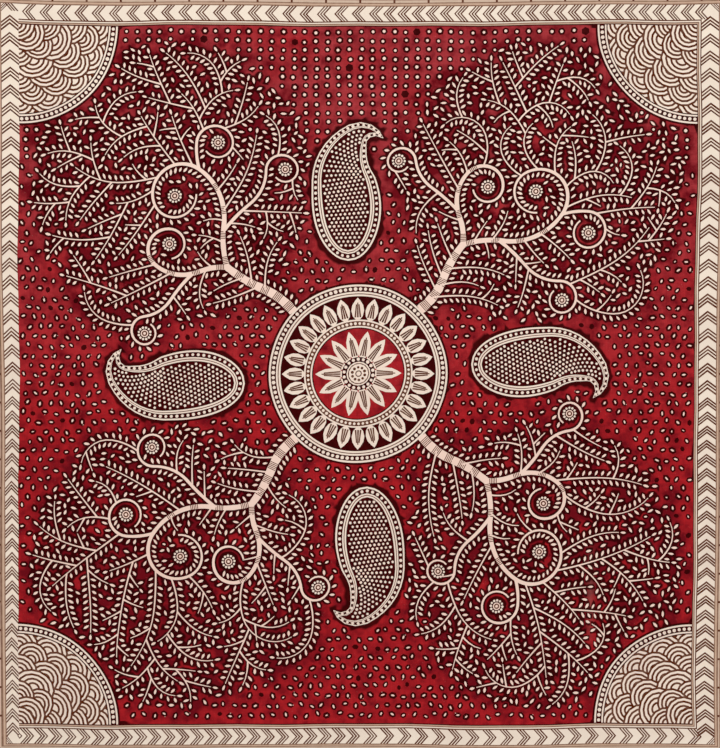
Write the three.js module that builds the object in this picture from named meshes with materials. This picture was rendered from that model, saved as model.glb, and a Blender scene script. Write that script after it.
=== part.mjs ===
// A painted and printed cotton cloth with a turned hem, laid out flat.
// Millimetres, +Z up. The origin is the middle of the underside, and +Y is the top of the design.

import * as THREE from 'three';

// Overall size of the finished cloth
const CLOTH_WIDTH = 925;
const CLOTH_LENGTH = 960;
const CLOTH_THICKNESS = 1.2;

// The hem is turned over on all four edges, so the cloth is thicker there
const HEM_WIDTH = 9;
const HEM_RISE = 0.9;
const HEM_STEP = 2;

// The cloth was cut by eye: each side leans in towards the bottom, and the edges wander
const LEFT_TAPER = 2;
const RIGHT_TAPER = 6;
const EDGE_WANDER = 0.9;
const EDGE_WAVES = 2.3;

// Low swells that are left in a cloth smoothed out by hand
const SWELL_HEIGHT = 0.18;
const SWELLS_ACROSS = 3.1;
const SWELLS_ALONG = 2.6;
const SWELL_SLANT = 1.7;

// Soft creases left by folding, each a low ridge that fades towards its ends
const CREASES = [
  { x: 292, yFrom: -345, yTo: -207, halfWidth: 7, height: 0.5 },
];

// Even rows and columns of the mesh between the hems
const INNER_COLUMNS = 24;
const INNER_ROWS = 26;

const COTTON_COLOUR = 0x8f1d22;
const COTTON_ROUGHNESS = 0.9;

// Grid lines from one edge to the other, with two at each hem and three at each crease
function gridLines(size, innerCount, creaseCentres) {
  const hemTop = size / 2 - HEM_WIDTH;
  const hemFoot = hemTop - HEM_STEP;
  const lines = [-size / 2, -hemTop, -hemFoot];
  for (let i = 1; i < innerCount; i += 1) {
    lines.push(-hemFoot + (2 * hemFoot * i) / innerCount);
  }
  lines.push(hemFoot, hemTop, size / 2);
  for (const { centre, halfWidth } of creaseCentres) {
    lines.push(centre - halfWidth, centre, centre + halfWidth);
  }
  return lines.sort((a, b) => a - b);
}

// 1 on the hem, 0 on the single cloth, with a straight step between them
function hemShare(x, y) {
  const inset = Math.min(CLOTH_WIDTH / 2 - Math.abs(x), CLOTH_LENGTH / 2 - Math.abs(y));
  return 1 - THREE.MathUtils.clamp((inset - HEM_WIDTH) / HEM_STEP, 0, 1);
}

function creaseHeight(x, y) {
  let height = 0;
  for (const crease of CREASES) {
    const across = Math.max(0, 1 - Math.abs(x - crease.x) / crease.halfWidth);
    const along = (y - crease.yFrom) / (crease.yTo - crease.yFrom);
    if (along > 0 && along < 1) {
      height += crease.height * across * Math.sin(Math.PI * along);
    }
  }
  return height;
}

// Swells die out towards the hem, which lies flat
function swellHeight(x, y) {
  const u = x / CLOTH_WIDTH;
  const v = y / CLOTH_LENGTH;
  const across = Math.sin(2 * Math.PI * SWELLS_ACROSS * u + SWELL_SLANT * v);
  const along = Math.cos(2 * Math.PI * SWELLS_ALONG * v);
  const fade = Math.cos(Math.PI * u) * Math.cos(Math.PI * v);
  return SWELL_HEIGHT * (1 + across * along) * fade;
}

function topHeight(x, y) {
  const hem = hemShare(x, y);
  const loose = swellHeight(x, y) + creaseHeight(x, y);
  return CLOTH_THICKNESS + HEM_RISE * hem + loose * (1 - hem);
}

// Moves a point of the square-cut cloth to where it lies on the real, slightly uneven one
function outlinePoint(x, y) {
  const u = (2 * x) / CLOTH_WIDTH;
  const v = (2 * y) / CLOTH_LENGTH;
  const lean = THREE.MathUtils.lerp(LEFT_TAPER, -RIGHT_TAPER, (1 + u) / 2) * ((1 - v) / 2);
  const sideWander = EDGE_WANDER * Math.sin(Math.PI * EDGE_WAVES * v + u) * Math.abs(u);
  const endWander = EDGE_WANDER * Math.sin(Math.PI * EDGE_WAVES * u + v) * Math.abs(v);
  return { x: x + lean - sideWander, y: y - endWander };
}

function makeCloth() {
  const creaseCentres = CREASES.map(({ x, halfWidth }) => ({ centre: x, halfWidth }));
  const columns = gridLines(CLOTH_WIDTH, INNER_COLUMNS, creaseCentres);
  const rows = gridLines(CLOTH_LENGTH, INNER_ROWS, []);
  const columnSteps = columns.length - 1;
  const rowSteps = rows.length - 1;
  const geometry = new THREE.BoxGeometry(columnSteps, rowSteps, 1, columnSteps, rowSteps, 1);
  const points = geometry.getAttribute('position');
  for (let i = 0; i < points.count; i += 1) {
    const x = columns[Math.round(points.getX(i) + columnSteps / 2)];
    const y = rows[Math.round(points.getY(i) + rowSteps / 2)];
    const z = points.getZ(i) > 0 ? topHeight(x, y) : 0;
    const placed = outlinePoint(x, y);
    points.setXYZ(i, placed.x, placed.y, z);
  }
  geometry.computeBoundingBox();
  const middle = geometry.boundingBox.getCenter(new THREE.Vector3());
  geometry.translate(-middle.x, -middle.y, 0);
  geometry.computeVertexNormals();
  const cotton = new THREE.MeshStandardMaterial({
    color: COTTON_COLOUR,
    roughness: COTTON_ROUGHNESS,
    metalness: 0,
  });
  const cloth = new THREE.Mesh(geometry, cotton);
  cloth.name = 'cloth';
  return cloth;
}

const part = new THREE.Group();
part.add(makeCloth());

export default part;
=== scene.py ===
"""A hand-painted and block-printed cotton cloth with a turned hem, laid out flat.

The scene is in metres. The cloth and the drawing on it are worked out in millimetres,
from the middle of the cloth, with +X to the right and +Y up the design.
"""

import math
import random

import bpy
import numpy as np
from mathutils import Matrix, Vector
from mathutils.geometry import delaunay_2d_cdt


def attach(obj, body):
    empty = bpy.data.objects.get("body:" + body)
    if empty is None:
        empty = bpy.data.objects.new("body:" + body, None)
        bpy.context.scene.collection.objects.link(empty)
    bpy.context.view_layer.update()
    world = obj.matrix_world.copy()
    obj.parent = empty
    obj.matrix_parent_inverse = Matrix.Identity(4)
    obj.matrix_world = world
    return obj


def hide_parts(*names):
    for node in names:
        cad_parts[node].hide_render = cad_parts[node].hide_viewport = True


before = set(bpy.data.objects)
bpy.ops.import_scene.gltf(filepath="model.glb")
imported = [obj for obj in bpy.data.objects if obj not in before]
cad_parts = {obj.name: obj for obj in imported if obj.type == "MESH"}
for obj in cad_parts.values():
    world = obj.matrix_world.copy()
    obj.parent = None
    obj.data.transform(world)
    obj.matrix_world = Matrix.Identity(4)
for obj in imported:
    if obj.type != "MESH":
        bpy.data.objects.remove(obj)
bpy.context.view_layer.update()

MM = 0.001
TURN = 2 * math.pi
QUARTER = math.pi / 2
rng = random.Random(71)

# The cloth as cut and hemmed, as in its solid
CLOTH_WIDTH = 925
CLOTH_LENGTH = 960
CLOTH_THICKNESS = 1.2
HEM_WIDTH = 9
HEM_RISE = 0.9
HEM_STEP = 2
LEFT_TAPER = 2
RIGHT_TAPER = 6
EDGE_WANDER = 0.9
EDGE_WAVES = 2.3
SWELL_HEIGHT = 0.18
SWELLS_ACROSS = 3.1
SWELLS_ALONG = 2.6
SWELL_SLANT = 1.7
CREASE_X = 292
CREASE_FROM = -345
CREASE_TO = -207
CREASE_HALF_WIDTH = 7
CREASE_HEIGHT = 0.5
CREASE_LINES = (-1, -0.5, 0, 0.5, 1)
CREASE_POINT_STEP = 9.0

# Finer relief of the hem: its rounded fold, as rows of inset and share of height, and its puckers
FOLD_ROUND = [(0.6, 1.0), (0.15, 0.82), (0.0, 0.5), (0.15, 0.18), (0.6, 0.0)]
HEM_POINT_STEP = 8.5
STITCH_INSET = 6.6
HEM_LINES = (STITCH_INSET, HEM_WIDTH, HEM_WIDTH + HEM_STEP, HEM_WIDTH + 2.5 * HEM_STEP)
PUCKER_HEIGHT = 0.16
PUCKER_PITCH = 17.0
PUCKER_REACH = 9.0
PUCKER_DRIFT = 1.7
PUCKER_DRIFT_LENGTH = 53
PUCKER_GROUP = 31
PUCKER_START = 0.6

# The loose edge stands off the floor in waves, each with its length, its sway and the sway's length
RIPPLE_HEIGHT = 1.7
RIPPLE_REACH = 24.0
RIPPLE_ACROSS = (38, 1.4, 97)
RIPPLE_ALONG = (34, 1.1, 88)

# The back, which lifts a little beside the turned strip, and the stitches: rows of place, girth and rise
BACK_LIFT = 0.5
BACK_LIFT_REACH = 8.0
BACK_STEP = 0.4
BACK_LINES = (14.0, 20.0, 32.0)
STITCH_PITCH = 9.0
STITCH_LENGTH = 5.4
STITCH_RADIUS = 0.34
STITCH_SLANT = 0.09
STITCH_SIDES = 6
STITCH_ROWS = [(-1.0, 0.35, -0.9), (-0.7, 0.85, 0.1), (-0.25, 1.0, 0.42), (0.25, 1.0, 0.42),
               (0.7, 0.85, 0.1), (1.0, 0.35, -0.9)]

# The field, the bands of chevrons round it, and the rectangles of its frame, each with its dye
FIELD_LEFT = -426.8
FIELD_RIGHT = 421.2
FIELD_BOTTOM = -436.8
FIELD_TOP = 438.0
BAND_LEFT = (-449.0, FIELD_LEFT)
BAND_RIGHT = (427.4, 449.0)
BAND_BOTTOM = (-462.3, -443.6)
BAND_TOP = (445.0, 463.7)
FRAMES = [
    (-460.0, 460.0, -476.0, 475.0, "blush"),
    (-455.9, 455.9, -469.0, 471.6, "rail"),
    (-454.7, 454.7, -467.8, 470.3, "blush"),
    (-453.3, 453.3, -466.2, 468.7, "rail"),
    (-452.1, 452.1, -465.0, 467.4, "wash"),
    (-450.3, 450.3, -463.6, 465.2, "rail"),
    (BAND_LEFT[0], BAND_RIGHT[1], BAND_BOTTOM[0], BAND_TOP[1], "cream"),
    (BAND_LEFT[1], BAND_RIGHT[0], BAND_BOTTOM[1], BAND_TOP[0], "brown"),
    (FIELD_LEFT, 426.0, -442.2, 443.4, "cream"),
    (FIELD_LEFT, 424.6, -440.7, 442.0, "rail"),
    (FIELD_LEFT, 423.3, -439.4, 440.6, "wash"),
    (FIELD_LEFT, 422.2, -438.2, 439.4, "black"),
]
FRAME_POINT_STEP = 30.0

# Chevrons of the border: two blocks of different pitch were printed along each side
CHEVRON_LONG = 21.7
CHEVRON_SHORT = 17.72
CHEVRON_DROP = 8.4
CHEVRON_LINES = 3
CHEVRON_STEP = 3.75
CHEVRON_STEP_WIDE = 4.4
CHEVRON_LINE_UPRIGHT = 2.55
CHEVRON_LINE_LEVEL = 2.2
CHEVRON_SQUEEZE = 0.1
CHEVRON_STRAY = 0.15
CHEVRON_OVERHANG = 1
UPRIGHT_START = 5
TOP_START = 4
TOP_END = 15
BOTTOM_START = 6
BOTTOM_END = 2
CORNER_LINE = 1.6
CORNER_STROKES = (2.8, 5.7, 8.6)
CORNER_DIAMONDS = [(3.8, "brown"), (2.0, "cream")]
TICK_PITCH = 35.6
TICK_HALF_ACROSS = 1.1
TICK_HALF_ALONG = 1.3
TICK_SIDE = 454.0
TICK_TOP = 469.5
TICKS_UP = 12
TICKS_ACROSS = 10
TICK_STRETCH = 1.2

# How the print strays: a bow at the top, a slow wobble, and places across that lean in by the bottom
LEAN_AT = (BAND_LEFT[0], FIELD_LEFT, 0.0, FIELD_RIGHT)
LEAN_BY = (6.5, 0.0, 0.0, -6.6)
LEAN_TOP = 0.82
LEAN_FOOT = -0.46
TOP_BOW = 4.6
WOBBLE = 0.65
WOBBLE_LENGTH = 41.0
WOBBLE_FADE = 14.0
WOBBLE_FINE = 0.5
WOBBLE_ACROSS = (1.3, 2.7, 90)
WOBBLE_ALONG = (0.4, 2.3, -110)
EDGE_FADE_START = 2
EDGE_FADE = 4

# Leaves of the field, and the room that each needs
LEAF_HALF_LENGTH = 3.7
LEAF_HALF_WIDTH = 1.55
LEAF_PITCH = 7.8
LEAF_LEAN = 60
LEAF_SWAY = 9
LEAF_OFF_STEM = 1.8
LEAF_TIP = 5.6
LEAF_END = 0.48
LEAF_GAP = 2.6
LEAF_ROOM = 2.1
LEAF_INK = 1.6
LEAF_MARGIN = 1.5
LOOSE_LEAF_GAP = 4.5
LOOSE_LEAF_TRIES = 40000
SHADE_CELL = 12.0
SHADE_FULL = 1.1

# Seeds and dots of the field. A seed's luck, from 0 to 1, decides if it is closed, small or has a drop
SEED_HALF_LENGTH = 2.45
SEED_HALF_WIDTH = 1.12
SEED_PITCH = 13.6
SEED_STRAY = 2.2
SEED_CLEAR = 4.5
SEED_MARGIN = 3.0
SEED_LAST = 4
SEED_START = 0.4
SEED_RING = 2.8
CLOSED_LUCK = 0.04
CLOSED_RING = 0.75
SMALL_LUCK = 0.13
SMALL_SEED = 0.65
DROP_LUCK = 0.9
DROP_REACH = 3.7
DROP_RADIUS = (0.5, 0.9)
DOT_RADIUS = 1.9
DOT_CLEAR = 4.2
DOT_COLUMN = 14.0
DOT_ROW = 11.4
DOT_START = 0.6
DOT_STRAY = 1.2
DOT_FROM = 262
DOT_CLOSED = 0.03
ROW_SHARE = 0.87

# Ink round the shapes, and the places where the dark of the ground gives way to red
INK_RING = 1.6
HALO = 3.1
LEAF_HALO = 3.65
HALO_PITCH = 2.8
HALO_MARGIN = 1.0
GLOW_GAP = 2.75
GLOW_PITCH = 8.0
GLOW_TRIES = 120000

# Rosettes, with rows of share of the radius, sides and dye
ROSETTE_RADIUS = 9.2
ROSETTE_BEADS = 12
ROSETTE_BEAD_RING = 0.8
ROSETTE_BEAD = 0.17
ROSETTE_RINGS = [(0.52, 10, "pale"), (0.38, 9, "brown"), (0.2, 6, "pale")]
ROSETTE_GAP = 1.5
ROSETTE_GLOWS = 14

# Trunks and curls, with side curls as rows of place, lean, width and bends, each a length and a turn
STEM_GAP = 0.4
WALK_STEP = 4.5
TRUNK_START = (78, 80)
TRUNK_HEADING = 38
TRUNK_BENDS = [(50, 30), (50, -16)]
TRUNK_WIDTHS = (12.0, 8.5)
MAIN_HEADING = 0.6
MAIN_WIDTH = 6.6
MAIN_BENDS = [(50, 25), (85, -62), (95, -150), (75, -160)]
MAIN_HATCHED = 26
SIDE_CURLS = [
    (10, 0.55, 4.2, [(60, 12), (60, -48), (66, 150), (58, 170)]),
    (30, 0.7, 3.8, [(34, 20), (60, 150), (55, 170)]),
]
TRUNK_HATCH = 4
MAIN_HATCH = 7
HATCH_PITCH = 2.1
HATCH_HALF = 0.5
CURL_SCALES = (1.0, 0.9, 0.8, 0.7, 0.6)
CURL_ROOM = 8
CURL_CLEAR = 13.0
CURL_MARGIN = 14.0
CURL_SKIP = 26.0
CURL_TIP = 2.0

# Twigs that grow into free ground inside the crowns of the four corners
TWIG_CLEAR = 13.0
TWIG_SKIP = 21.0
TWIG_MARGIN = 9.0
TWIG_FIRST = (8, 16)
TWIG_SPACING = 10.0
TWIG_STEP = 7.5
TWIG_END = 12.0
TWIG_LENGTHS = (50, 130)
TWIG_SHORTENS = 0.65
TWIG_LEANS = (40, 75)
TWIG_TURNS = (-20, 95)
TWIG_TURN_LENGTH = 60
TWIG_BENDS = [(0.4, 0.25), (0.6, 0.75)]
TWIG_WIDTHS = (2.1, 0.9)
TWIG_TRIES = 14
TWIG_GENERATIONS = 6
CROWN_X = 232
CROWN_Y = 240
CROWN_RADIUS = 176

# The roundel in the middle of the field, and what is kept free round it and the other figures
CENTRE_X = (FIELD_LEFT + FIELD_RIGHT) / 2
CENTRE_Y = (FIELD_TOP + FIELD_BOTTOM) / 2
ROUNDEL_RADIUS = 112
ROUNDEL_GLOWS = 120
FIGURE_GAP = 2

# Quarter rounds of scales in the corners of the field
CORNER_RADIUS = 124
CORNER_RIM = 6.0
CORNER_BANDS = [(12.4, -INK_RING, "black"), (11.0, 9.0, "linen"), (2.2, 0.0, "linen")]
CORNER_BEAD_INSET = 5.6
CORNER_BEAD_PITCH = 6.2
CORNER_BEAD = 2.35
CORNER_GLOWS = 160
SCALE_RADIUS = 21.5
SCALE_ROW = 16.5
SCALE_ARCS = 4
SCALE_LINE = 2.6
SCALE_PITCH = 1.75
SCALE_HALF_WIDTH = 0.56

# Paisleys on the axes, with rims as rows of inset and dye
PAISLEY_PLACE = (-12, 142)
PAISLEY_HEADING = 88
PAISLEY_LENGTH = 200
PAISLEY_HALF_WIDTH = 43
PAISLEY_BENDS = [(0.5, 12), (0.3, -50), (0.2, -105)]
PAISLEY_SPINE_STEPS = 60
PAISLEY_BELLY = 0.36
PAISLEY_TAPER = 1.12
PAISLEY_RIMS = [
    (0.0, "linen"), (2.2, "black"), (8.4, "linen"),
    (10.2, "brown"), (11.2, "linen"), (13.2, "black"),
]
PAISLEY_RIM_STEPS = 30
PAISLEY_RIM_CROWD = 1.4
PAISLEY_TIP_INSET = 1.9
PAISLEY_TIP_HALF = 0.25
PAISLEY_FOOT = 1
PAISLEY_BEAD_INSET = 5.3
PAISLEY_BEAD_PITCH = 6.9
PAISLEY_BEAD = 2.0
PAISLEY_GRAIN_PITCH = 5.6
PAISLEY_GRAIN = 1.8
PAISLEY_GRAIN_EDGE = 1.7
PAISLEY_GRAIN_RIM = 1.0

# Points of the drawing that lie closer than this become one when it is cut
CUT_CLOSENESS = 0.01

# Shares of the flat map for finishing
MAP_EDGE = 0.006
MAP_FRONT_WIDTH = 0.944
MAP_STRIP_START = 0.962
MAP_STRIP_WIDTH = 0.03
MAP_LENGTH = 0.988

# Levels of paint: a higher level covers a lower one, and later work covers earlier work
FRAME, FRAME_INK, FIELD, OUTLINE, FIGURE = range(5)

# Strength of each dye on the cloth: red, black and brown
DYES = {
    "cream": (0.0, 0.0, 0.0),
    "blush": (0.0, 0.0, 0.36),
    "wash": (0.05, 0.0, 0.46),
    "rail": (0.05, 0.0, 0.84),
    "linen": (0.012, 0.0, 0.0),
    "pale": (0.07, 0.0, 0.0),
    "faint": (0.42, 0.0, 0.05),
    "ghost": (0.30, 0.0, 0.05),
    "red": (1.0, 0.0, 0.0),
    "brown": (0.10, 0.0, 1.0),
    "ground": (1.0, 0.95, 0.0),
    "black": (1.0, 0.96, 0.0),
}

# Shapes to stamp, one unit to each side, and how finely round ones are drawn
LEAF_SHAPE = [(1, 0), (0.45, 0.9), (-0.3, 0.9), (-1, 0), (-0.3, -0.9), (0.45, -0.9)]
SEED_SHAPE = [(1, 0), (0.45, 0.9), (-0.5, 0.9), (-1, 0), (-0.5, -0.9), (0.45, -0.9)]
PETAL_HALF = [(1, 0), (0.72, 0.42), (0.3, 0.86), (-0.2, 1), (-0.7, 0.78), (-1, 0.34)]
PETAL_SHAPE = PETAL_HALF + [(u, -v) for u, v in reversed(PETAL_HALF[1:])]
PETAL_NEAR = 0.45
PETAL_FAR = 0.55
PETAL_FILL = 0.86
VEINS = (-0.4, 0, 0.4)
VEIN_END = 0.55
VEIN_FALL = 0.4
VEIN_GATHER = 0.5
VEIN_TIP = 0.09
VEIN_START = -0.8
VEIN_FOOT = 0.13
SCALE_TURNS = (-1.25, -0.8, -0.4, 0, 0.4, 0.8, 1.25)
SCALE_SHAPE = [(-0.3, -1)] + [(math.cos(a), math.sin(a)) for a in SCALE_TURNS] + [(-0.3, 1)]
DISC_SIDES_PER_MM = 1.1
ARC_SIDES_PER_MM = 0.3
ARC_SPARE = 0.02


class Drawing:
    """Flat shapes painted on the cloth, and the lines along which it folds."""

    def __init__(self):
        self.points = []
        self.faces = []
        self.soots = []
        self.levels = []
        self.dyes = []
        self.folds = []

    def paint(self, outline, dye, level=FIGURE, soot=1.0):
        area = sum(a[0] * b[1] - b[0] * a[1] for a, b in closed_pairs(outline))
        first = len(self.points)
        self.points.extend(outline if area > 0 else outline[::-1])
        self.soots.extend([soot] * len(outline))
        self.faces.append(list(range(first, first + len(outline))))
        self.levels.append(level)
        self.dyes.append(dye)
        return len(self.faces) - 1

    def ribbon(self, left, right, dye, stretch=6):
        """A long band in short stretches, so that it may coil over itself."""
        for i in range(0, len(left) - 1, stretch):
            self.paint(right[i:i + stretch + 1] + left[i:i + stretch + 1][::-1], dye)

    def clear(self, x, y):
        """A place of the ground that no dark reaches."""
        self.points.append((x, y))
        self.soots.append(0.0)

    def fold(self, line):
        first = len(self.points)
        self.points.extend(line)
        self.soots.extend([0.0] * len(line))
        self.folds.extend((i, i + 1) for i in range(first, first + len(line) - 1))


class Room:
    """Circles already taken on the cloth, kept in square bins."""

    BIN = 20.0

    def __init__(self):
        self.bins = {}

    def cells(self, x, y, radius):
        columns = range(int((x - radius) // self.BIN), int((x + radius) // self.BIN) + 1)
        rows = range(int((y - radius) // self.BIN), int((y + radius) // self.BIN) + 1)
        return [(column, row) for column in columns for row in rows]

    def take(self, x, y, radius):
        for cell in self.cells(x, y, radius):
            self.bins.setdefault(cell, []).append((x, y, radius))

    def is_free(self, x, y, radius):
        for cell in self.cells(x, y, radius):
            for other_x, other_y, other_radius in self.bins.get(cell, ()):
                if math.hypot(x - other_x, y - other_y) < radius + other_radius:
                    return False
        return True


drawing = Drawing()
room = Room()
stem_room = Room()
ink_room = Room()
leaves = []
stems = []
halos = []


def closed_pairs(points):
    """Each point of a closed run, with the one after it."""
    return zip(points, points[1:] + points[:1])


def around(value, share):
    return value * rng.uniform(1 - share, 1 + share)


def stamp(shape, x, y, angle, half_length, half_width):
    c = math.cos(angle)
    s = math.sin(angle)
    return [
        (x + c * u * half_length - s * v * half_width, y + s * u * half_length + c * v * half_width)
        for u, v in shape
    ]


def polar(x, y, radius, angle):
    return x + radius * math.cos(angle), y + radius * math.sin(angle)


def beside(x, y, heading, distance):
    """A place to the left of (x, y), seen along heading."""
    return x - math.sin(heading) * distance, y + math.cos(heading) * distance


def circle(x, y, radius, sides, turn=0.0):
    return [polar(x, y, radius, turn + TURN * i / sides) for i in range(sides)]


def disc(x, y, radius, dye, level=FIGURE):
    drawing.paint(circle(x, y, radius, max(10, int(radius * DISC_SIDES_PER_MM))), dye, level)


def bead(x, y, radius, turn=0.0, dye="linen"):
    drawing.paint(circle(x, y, around(radius, 0.1), 6, turn), dye)


def take(x, y, radius, gap):
    """Keeps twigs and bare red off a round place, and leaves and seeds off it by a gap."""
    room.take(x, y, radius + gap)
    stem_room.take(x, y, radius)
    ink_room.take(x, y, radius)


def line_points(start, end, step):
    count = max(1, round(math.dist(start, end) / step))
    return [
        (start[0] + (end[0] - start[0]) * i / count, start[1] + (end[1] - start[1]) * i / count)
        for i in range(count)
    ]


def corners_of(left, right, bottom, top):
    return [(left, bottom), (right, bottom), (right, top), (left, top)]


def rectangle(left, right, bottom, top, step):
    points = []
    for start, end in closed_pairs(corners_of(left, right, bottom, top)):
        points.extend(line_points(start, end, step))
    return points


def inside_field(x, y, margin):
    across = FIELD_LEFT + margin < x < FIELD_RIGHT - margin
    return across and FIELD_BOTTOM + margin < y < FIELD_TOP - margin


def inside_crown(x, y):
    return math.hypot(abs(x - CENTRE_X) - CROWN_X, abs(y - CENTRE_Y) - CROWN_Y) < CROWN_RADIUS


# Small repeats

def try_leaf(x, y, angle):
    reach = LEAF_HALF_LENGTH * LEAF_END
    ends = [polar(x, y, -reach, angle), polar(x, y, reach, angle)]
    if not all(room.is_free(*end, LEAF_GAP) and inside_field(*end, LEAF_MARGIN) for end in ends):
        return
    for end in ends:
        room.take(*end, LEAF_ROOM)
        ink_room.take(*end, LEAF_INK)
    leaves.append((x, y))
    half_length = around(LEAF_HALF_LENGTH, 0.14)
    half_width = around(LEAF_HALF_WIDTH, 0.12)
    drawing.paint(stamp(LEAF_SHAPE, x, y, angle, half_length, half_width), "pale")
    halos.extend(stamp(LEAF_SHAPE, x, y, angle, half_length + LEAF_HALO, half_width + LEAF_HALO))


def seed(x, y):
    """A small oval in a dark ring. Some stayed closed, and some have a drop of resist beside them."""
    angle = rng.uniform(0, math.pi)
    luck = rng.random()
    size = SMALL_SEED if luck < SMALL_LUCK else 1.0
    half_length = around(SEED_HALF_LENGTH, 0.15) * size
    half_width = around(SEED_HALF_WIDTH, 0.12) * size
    ring = around(SEED_RING, 0.2) * (1.0 if luck > CLOSED_LUCK else CLOSED_RING)
    outline = stamp(SEED_SHAPE, x, y, angle, half_length + ring, half_width + ring)
    drawing.paint(outline, "black", OUTLINE, 0.0)
    ink_room.take(x, y, half_length + ring / 2)
    if luck > CLOSED_LUCK:
        drawing.paint(stamp(SEED_SHAPE, x, y, angle, half_length, half_width), "pale")
    if luck > DROP_LUCK:
        toward = rng.uniform(0, TURN)
        drop = circle(*polar(x, y, DROP_REACH, toward), rng.uniform(*DROP_RADIUS), 4, toward)
        drawing.paint(drop, "faint", OUTLINE, 0.0)


def dot(x, y):
    radius = around(DOT_RADIUS, 0.15)
    turn = rng.random()
    ring = around(SEED_RING, 0.2)
    drawing.paint(circle(x, y, radius + ring, 6, turn), "black", OUTLINE, 0.0)
    ink_room.take(x, y, radius + ring / 2)
    if rng.random() > DOT_CLOSED:
        drawing.paint(circle(x, y, radius, 7, turn), "pale")


def bead_ring(x, y, radius, count, size, dye="linen"):
    turn = rng.uniform(0, TURN)
    for i in range(count):
        angle = turn + TURN * i / count
        bead(*polar(x, y, radius, angle), size, angle, dye)


def bead_path(points, pitch, size):
    """Beads at even steps along a closed run of points."""
    at = 0.0
    for start, end in closed_pairs(points):
        length = math.dist(start, end)
        while at < length:
            x = start[0] + (end[0] - start[0]) * at / length
            y = start[1] + (end[1] - start[1]) * at / length
            bead(x, y, size)
            at += pitch
        at -= length


def rosette(x, y):
    radius = ROSETTE_RADIUS
    disc(x, y, radius + INK_RING, "black", OUTLINE)
    bead_ring(x, y, radius * ROSETTE_BEAD_RING, ROSETTE_BEADS, radius * ROSETTE_BEAD)
    for share, sides, dye in ROSETTE_RINGS:
        drawing.paint(circle(x, y, radius * share, sides), dye)
    halos.extend(circle(x, y, radius + HALO, ROSETTE_GLOWS))
    take(x, y, radius, ROSETTE_GAP)


# Stems, drawn by walking forward and turning

def walk(x, y, heading, bends, step=WALK_STEP):
    """Places along a path, as x, y, heading and length so far. A bend is a length and a turn in degrees."""
    path = [(x, y, heading, 0.0)]
    gone = 0.0
    for length, turn in bends:
        count = max(2, round(length / step))
        for _ in range(count):
            heading += math.radians(turn) / count / 2
            x += math.cos(heading) * length / count
            y += math.sin(heading) * length / count
            heading += math.radians(turn) / count / 2
            gone += length / count
            path.append((x, y, heading, gone))
    return path


def sides_of(path, half_widths):
    rows = [(*place[:3], half) for place, half in zip(path, half_widths)]
    left = [beside(x, y, heading, half) for x, y, heading, half in rows]
    right = [beside(x, y, heading, -half) for x, y, heading, half in rows]
    return left, right


def stem(path, start_width, end_width, coiled=False):
    total = path[-1][3]
    widths = [start_width + (end_width - start_width) * gone / total for _, _, _, gone in path]
    halves = [around(width, 0.07) / 2 for width in widths]
    left, right = sides_of(path, halves)
    if coiled:
        drawing.ribbon(left, right, "pale")
    else:
        drawing.paint(right + left[::-1], "pale")
    for (x, y, _, _), half in zip(path, halves):
        take(x, y, half, STEM_GAP)
    left, right = sides_of(path, [half + LEAF_HALO for half in halves])
    halos.extend(left + right)
    stems.append((path, halves))


def hatch(path, halves, every):
    """Bands of five short strokes across a thick stem."""
    for i in range(2, len(path) - 2, every):
        x, y, heading, _ = path[i]
        for k in range(-2, 3):
            cross_x, cross_y = polar(x, y, HATCH_PITCH * k, heading)
            bar = [(1, 1), (-1, 1), (-1, -1), (1, -1)]
            drawing.paint(stamp(bar, cross_x, cross_y, heading, HATCH_HALF, halves[i]), "brown")


def leafy(path, halves):
    """Leaves on both sides of a stem, and one at its tip."""
    offset = rng.uniform(0, LEAF_PITCH)
    total = path[-1][3]
    for side in (-1, 1):
        at = offset + (LEAF_PITCH / 2 if side > 0 else 0)
        while at < total:
            x, y, heading, _ = place_on(path, at)
            half = halves[min(len(halves) - 1, int(at / total * len(halves)))]
            angle = heading + side * math.radians(LEAF_LEAN + rng.uniform(-LEAF_SWAY, LEAF_SWAY))
            reach = half + LEAF_OFF_STEM + LEAF_HALF_LENGTH * math.sin(math.radians(LEAF_LEAN))
            try_leaf(*beside(x, y, heading, side * reach), angle)
            at += LEAF_PITCH
    x, y, heading, _ = path[-1]
    try_leaf(*polar(x, y, LEAF_TIP, heading), heading)


def place_on(path, gone):
    """The place and heading at a distance along a path."""
    i = 0
    while i < len(path) - 2 and path[i + 1][3] < gone:
        i += 1
    share = (gone - path[i][3]) / (path[i + 1][3] - path[i][3])
    return [a + (b - a) * share for a, b in zip(path[i], path[i + 1])]


def path_is_free(path, clear, margin, skip):
    for x, y, _, gone in path:
        if gone < skip:
            continue
        if not inside_field(x, y, margin) or not stem_room.is_free(x, y, clear):
            return False
    return True


def try_twig(x, y, heading, side):
    for attempt in range(TWIG_TRIES):
        length = rng.uniform(*TWIG_LENGTHS) * (1 - TWIG_SHORTENS * attempt / TWIG_TRIES)
        start = heading + side * math.radians(rng.uniform(*TWIG_LEANS))
        turn = side * rng.uniform(*TWIG_TURNS) * length / TWIG_TURN_LENGTH
        bends = [(length * part, turn * share) for part, share in TWIG_BENDS]
        path = walk(x, y, start, bends, TWIG_STEP)
        if inside_crown(*path[-1][:2]) and path_is_free(path, TWIG_CLEAR, TWIG_MARGIN, TWIG_SKIP):
            stem(path, *TWIG_WIDTHS)
            return


def grow():
    done = 0
    for _ in range(TWIG_GENERATIONS):
        todo = stems[done:]
        done = len(stems)
        for path, _ in todo:
            target = rng.uniform(*TWIG_FIRST)
            side = rng.choice((-1, 1))
            for x, y, heading, gone in path:
                if gone < target or gone > path[-1][3] - TWIG_END:
                    continue
                target = gone + around(TWIG_SPACING, 0.25)
                try_twig(x, y, heading, side)
                side = -side


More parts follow.
